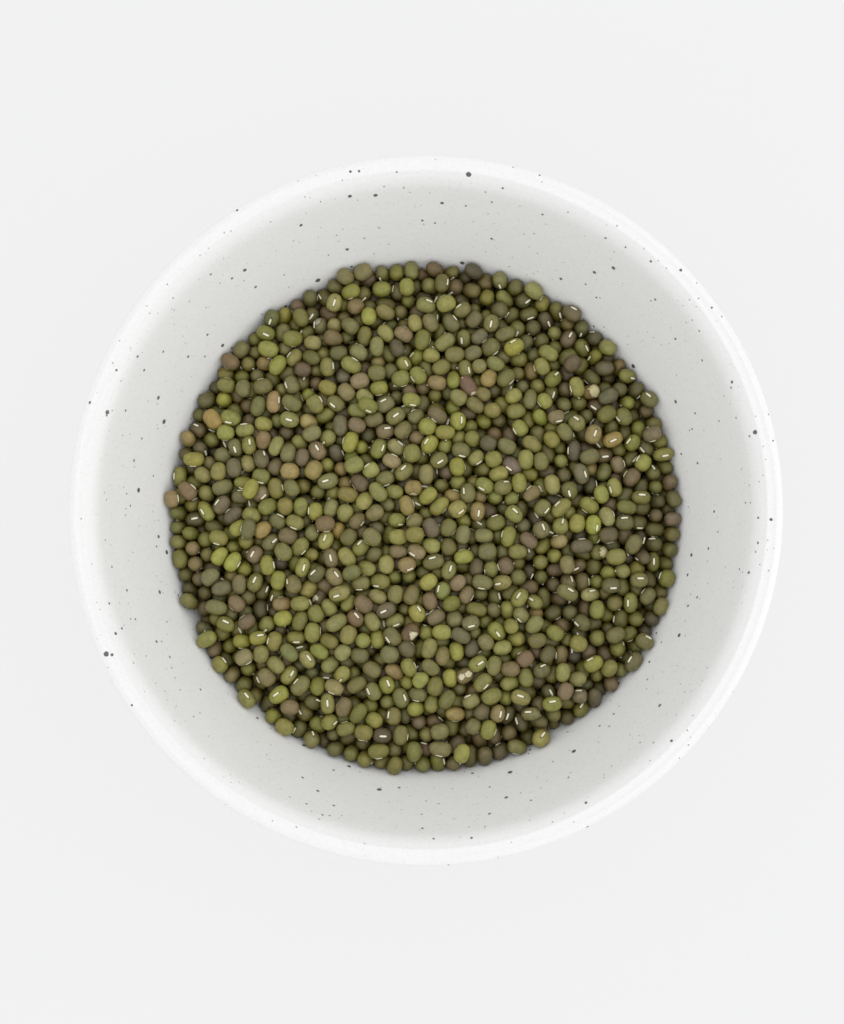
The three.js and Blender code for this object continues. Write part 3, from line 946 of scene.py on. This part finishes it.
def make_odd(beans, chosen):
    """The beans with torn skin: pale inner flesh shows in a patch with a ragged, dark edge."""
    direction, _ = cube_sphere(ODD_DETAIL)
    piece = joined_beans("beans_with_torn_skin", ODD_DETAIL, chosen, beans, ODD_ROUGHNESS)
    attribute = piece.data.attributes["bean_colour_and_shade"].data
    colour = np.empty((len(chosen), len(direction), 4), np.float32)
    attribute.foreach_get("color", colour.ravel())
    points = np.empty((len(chosen), len(direction), 3), np.float32)
    piece.data.vertices.foreach_get("co", points.ravel())
    waves = [np.sin(direction[:, k] * rate + start) for k, (rate, start) in enumerate(PATCH_WAVES)]
    stray = PATCH_STRAY * np.prod(waves, axis=0)
    for row, (number, odd) in enumerate(zip(chosen, ODD_BEANS)):
        for bearing, rise, reach, squash in odd["patches"]:
            # The patch's middle, as a direction from the bean's middle in the picture.
            turn, lift = math.radians(bearing), math.radians(rise)
            level = math.cos(lift)
            towards = np.array([math.cos(turn) * level, math.sin(turn) * level, math.sin(lift)])
            cross = np.cross([0.0, 0.0, 1.0], towards)
            cross /= np.linalg.norm(cross)
            local, sideways = beans["turn"][number].T @ towards, beans["turn"][number].T @ cross
            off = np.arccos(np.clip(direction @ local, -1.0, 1.0))
            off = np.hypot(off, (squash - 1.0) * (direction @ sideways))
            off = off / math.radians(reach) + stray
            flesh = np.clip((1.0 - off) / PATCH_FADE, 0.0, 1.0)[:, None]
            edge = np.clip(1.0 - np.abs(off - PATCH_EDGE) / PATCH_FADE, 0.0, 1.0)[:, None]
            colour[row, :, :3] *= 1.0 - PATCH_EDGE_TONE * edge
            colour[row, :, :3] += flesh * (np.array(odd["flesh"]) - colour[row, :, :3])
            outward = points[row] - beans["centre"][number] * MM
            points[row] -= outward * PATCH_DENT * flesh
    attribute.foreach_set("color", colour.ravel())
    piece.data.vertices.foreach_set("co", points.ravel())
    piece.data.update()
    return piece


def make_core():
    """What the loose beans lie on: the deep part of the heap, which the beans hide, coloured near
    black as painted shade.
    """
    edge_rise = ROUND_CENTRE_HEIGHT - (HEAP_EDGE_HEIGHT - BED_DEPTH)
    edge_angle = -math.asin(edge_rise / (BOTTOM_ROUND - CORE_GAP))
    side = bottom_arc(-CORE_GAP, -math.pi / 2, edge_angle, 30)
    radius = np.linspace(side[-1, 0], 0.0, 12)[1:]
    top = np.column_stack([radius, core_height(radius)])
    middle = [[0.0, BOWL_HEIGHT - INNER_DEPTH + CORE_GAP]]
    vertices, faces = turned(np.vstack([middle, side, top]), CORE_SIDES)
    return mesh_object("deep_beans", vertices, faces, shaded_core_material())


def make_heap():
    beans = grow_beans()
    odd = choose_odd(beans)
    reshape_odd(beans, odd)
    beans["kind"][odd] = -1
    radial = np.hypot(beans["centre"][:, 0], beans["centre"][:, 1])
    below = heap_height(radial) - beans["centre"][:, 2]
    pieces = [make_core()]
    for number, name in enumerate(KINDS):
        chosen = np.flatnonzero((beans["kind"] == number) & (below < DEEP_FROM))
        pieces.append(joined_beans(name, TOP_DETAIL, chosen, beans, TOP_ROUGHNESS))
    pieces.append(make_odd(beans, odd))
    deep = np.flatnonzero((below >= DEEP_FROM) & (beans["kind"] >= 0))
    pieces.append(joined_beans("beans_deeper", DEEP_DETAIL, deep, beans, DEEP_ROUGHNESS))
    scar_up = beans["turn"][:, 2, 1] > SCAR_LOWEST
    pieces.append(make_hilums(np.flatnonzero(scar_up & (below < SCARS_TO)), beans))
    for piece in pieces:
        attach(piece, "root")
        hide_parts("mung_beans")


make_heap()


# ---- Floor and light ----


def make_floor():
    nodes = Nodes("pale_floor")
    place = nodes.add("ShaderNodeTexCoord").outputs["Object"]
    tone = nodes.noise(place, 3.0, 2.0)
    pale = nodes.mix(tone.outputs[0], (FLOOR_TONE,) * 3, (1.05 * FLOOR_TONE,) * 3)
    nodes.link(pale, nodes.shader.inputs["Base Color"])
    nodes.shader.inputs["Roughness"].default_value = 0.95
    nodes.shader.inputs["Specular IOR Level"].default_value = 0.1
    nodes.shader.inputs["Emission Color"].default_value = (1.0, 1.0, 1.0, 1.0)
    nodes.shader.inputs["Emission Strength"].default_value = FLOOR_GLOW
    square = np.array([[-1.0, -1.0, 0.0], [1.0, -1.0, 0.0], [1.0, 1.0, 0.0], [-1.0, 1.0, 0.0]])
    floor = mesh_object("floor", square * FLOOR_HALF, np.array([[0, 1, 2, 3]]), nodes.material)


def add_lamp(name, place, aim, size, energy):
    data = bpy.data.lights.new(name, "AREA")
    data.shape = "DISK"
    data.size = size
    data.energy = energy
    lamp = bpy.data.objects.new(name, data)
    lamp.location = place
    lamp.rotation_euler = (Vector(aim) - Vector(place)).to_track_quat("-Z", "Y").to_euler()
    bpy.context.scene.collection.objects.link(lamp)


def ramp(tree, value, low, high, at_low, at_high):
    node = tree.nodes.new("ShaderNodeMapRange")
    tree.links.new(value, node.inputs["Value"])
    ends = {"From Min": low, "From Max": high, "To Min": at_low, "To Max": at_high}
    for key, number in ends.items():
        node.inputs[key].default_value = number
    return node.outputs[0]


def light_scene():
    world = bpy.data.worlds.new("studio")
    world.use_nodes = True
    tree = world.node_tree
    background = tree.nodes["Background"]
    background.inputs["Color"].default_value = (*SKY_COLOUR, 1.0)
    direction = tree.nodes.new("ShaderNodeTexCoord")
    parts = tree.nodes.new("ShaderNodeSeparateXYZ")
    tree.links.new(direction.outputs["Generated"], parts.inputs[0])
    rise = parts.outputs[2]
    both = tree.nodes.new("ShaderNodeMath")
    fade = ramp(tree, rise, SKY_FADE_FROM, SKY_FADE_TO, SKY_HORIZON, SKY_ZENITH)
    tree.links.new(fade, both.inputs[0])
    tree.links.new(ramp(tree, rise, 0.0, SKY_LOW_TOP, SKY_LOW, 0.0), both.inputs[1])
    tree.links.new(both.outputs[0], background.inputs["Strength"])
    bpy.context.scene.world = world
    add_lamp("key", KEY_PLACE, KEY_AIM, KEY_SIZE, KEY_POWER)
    bpy.context.scene.view_settings.view_transform = "Standard"


make_floor()
light_scene()
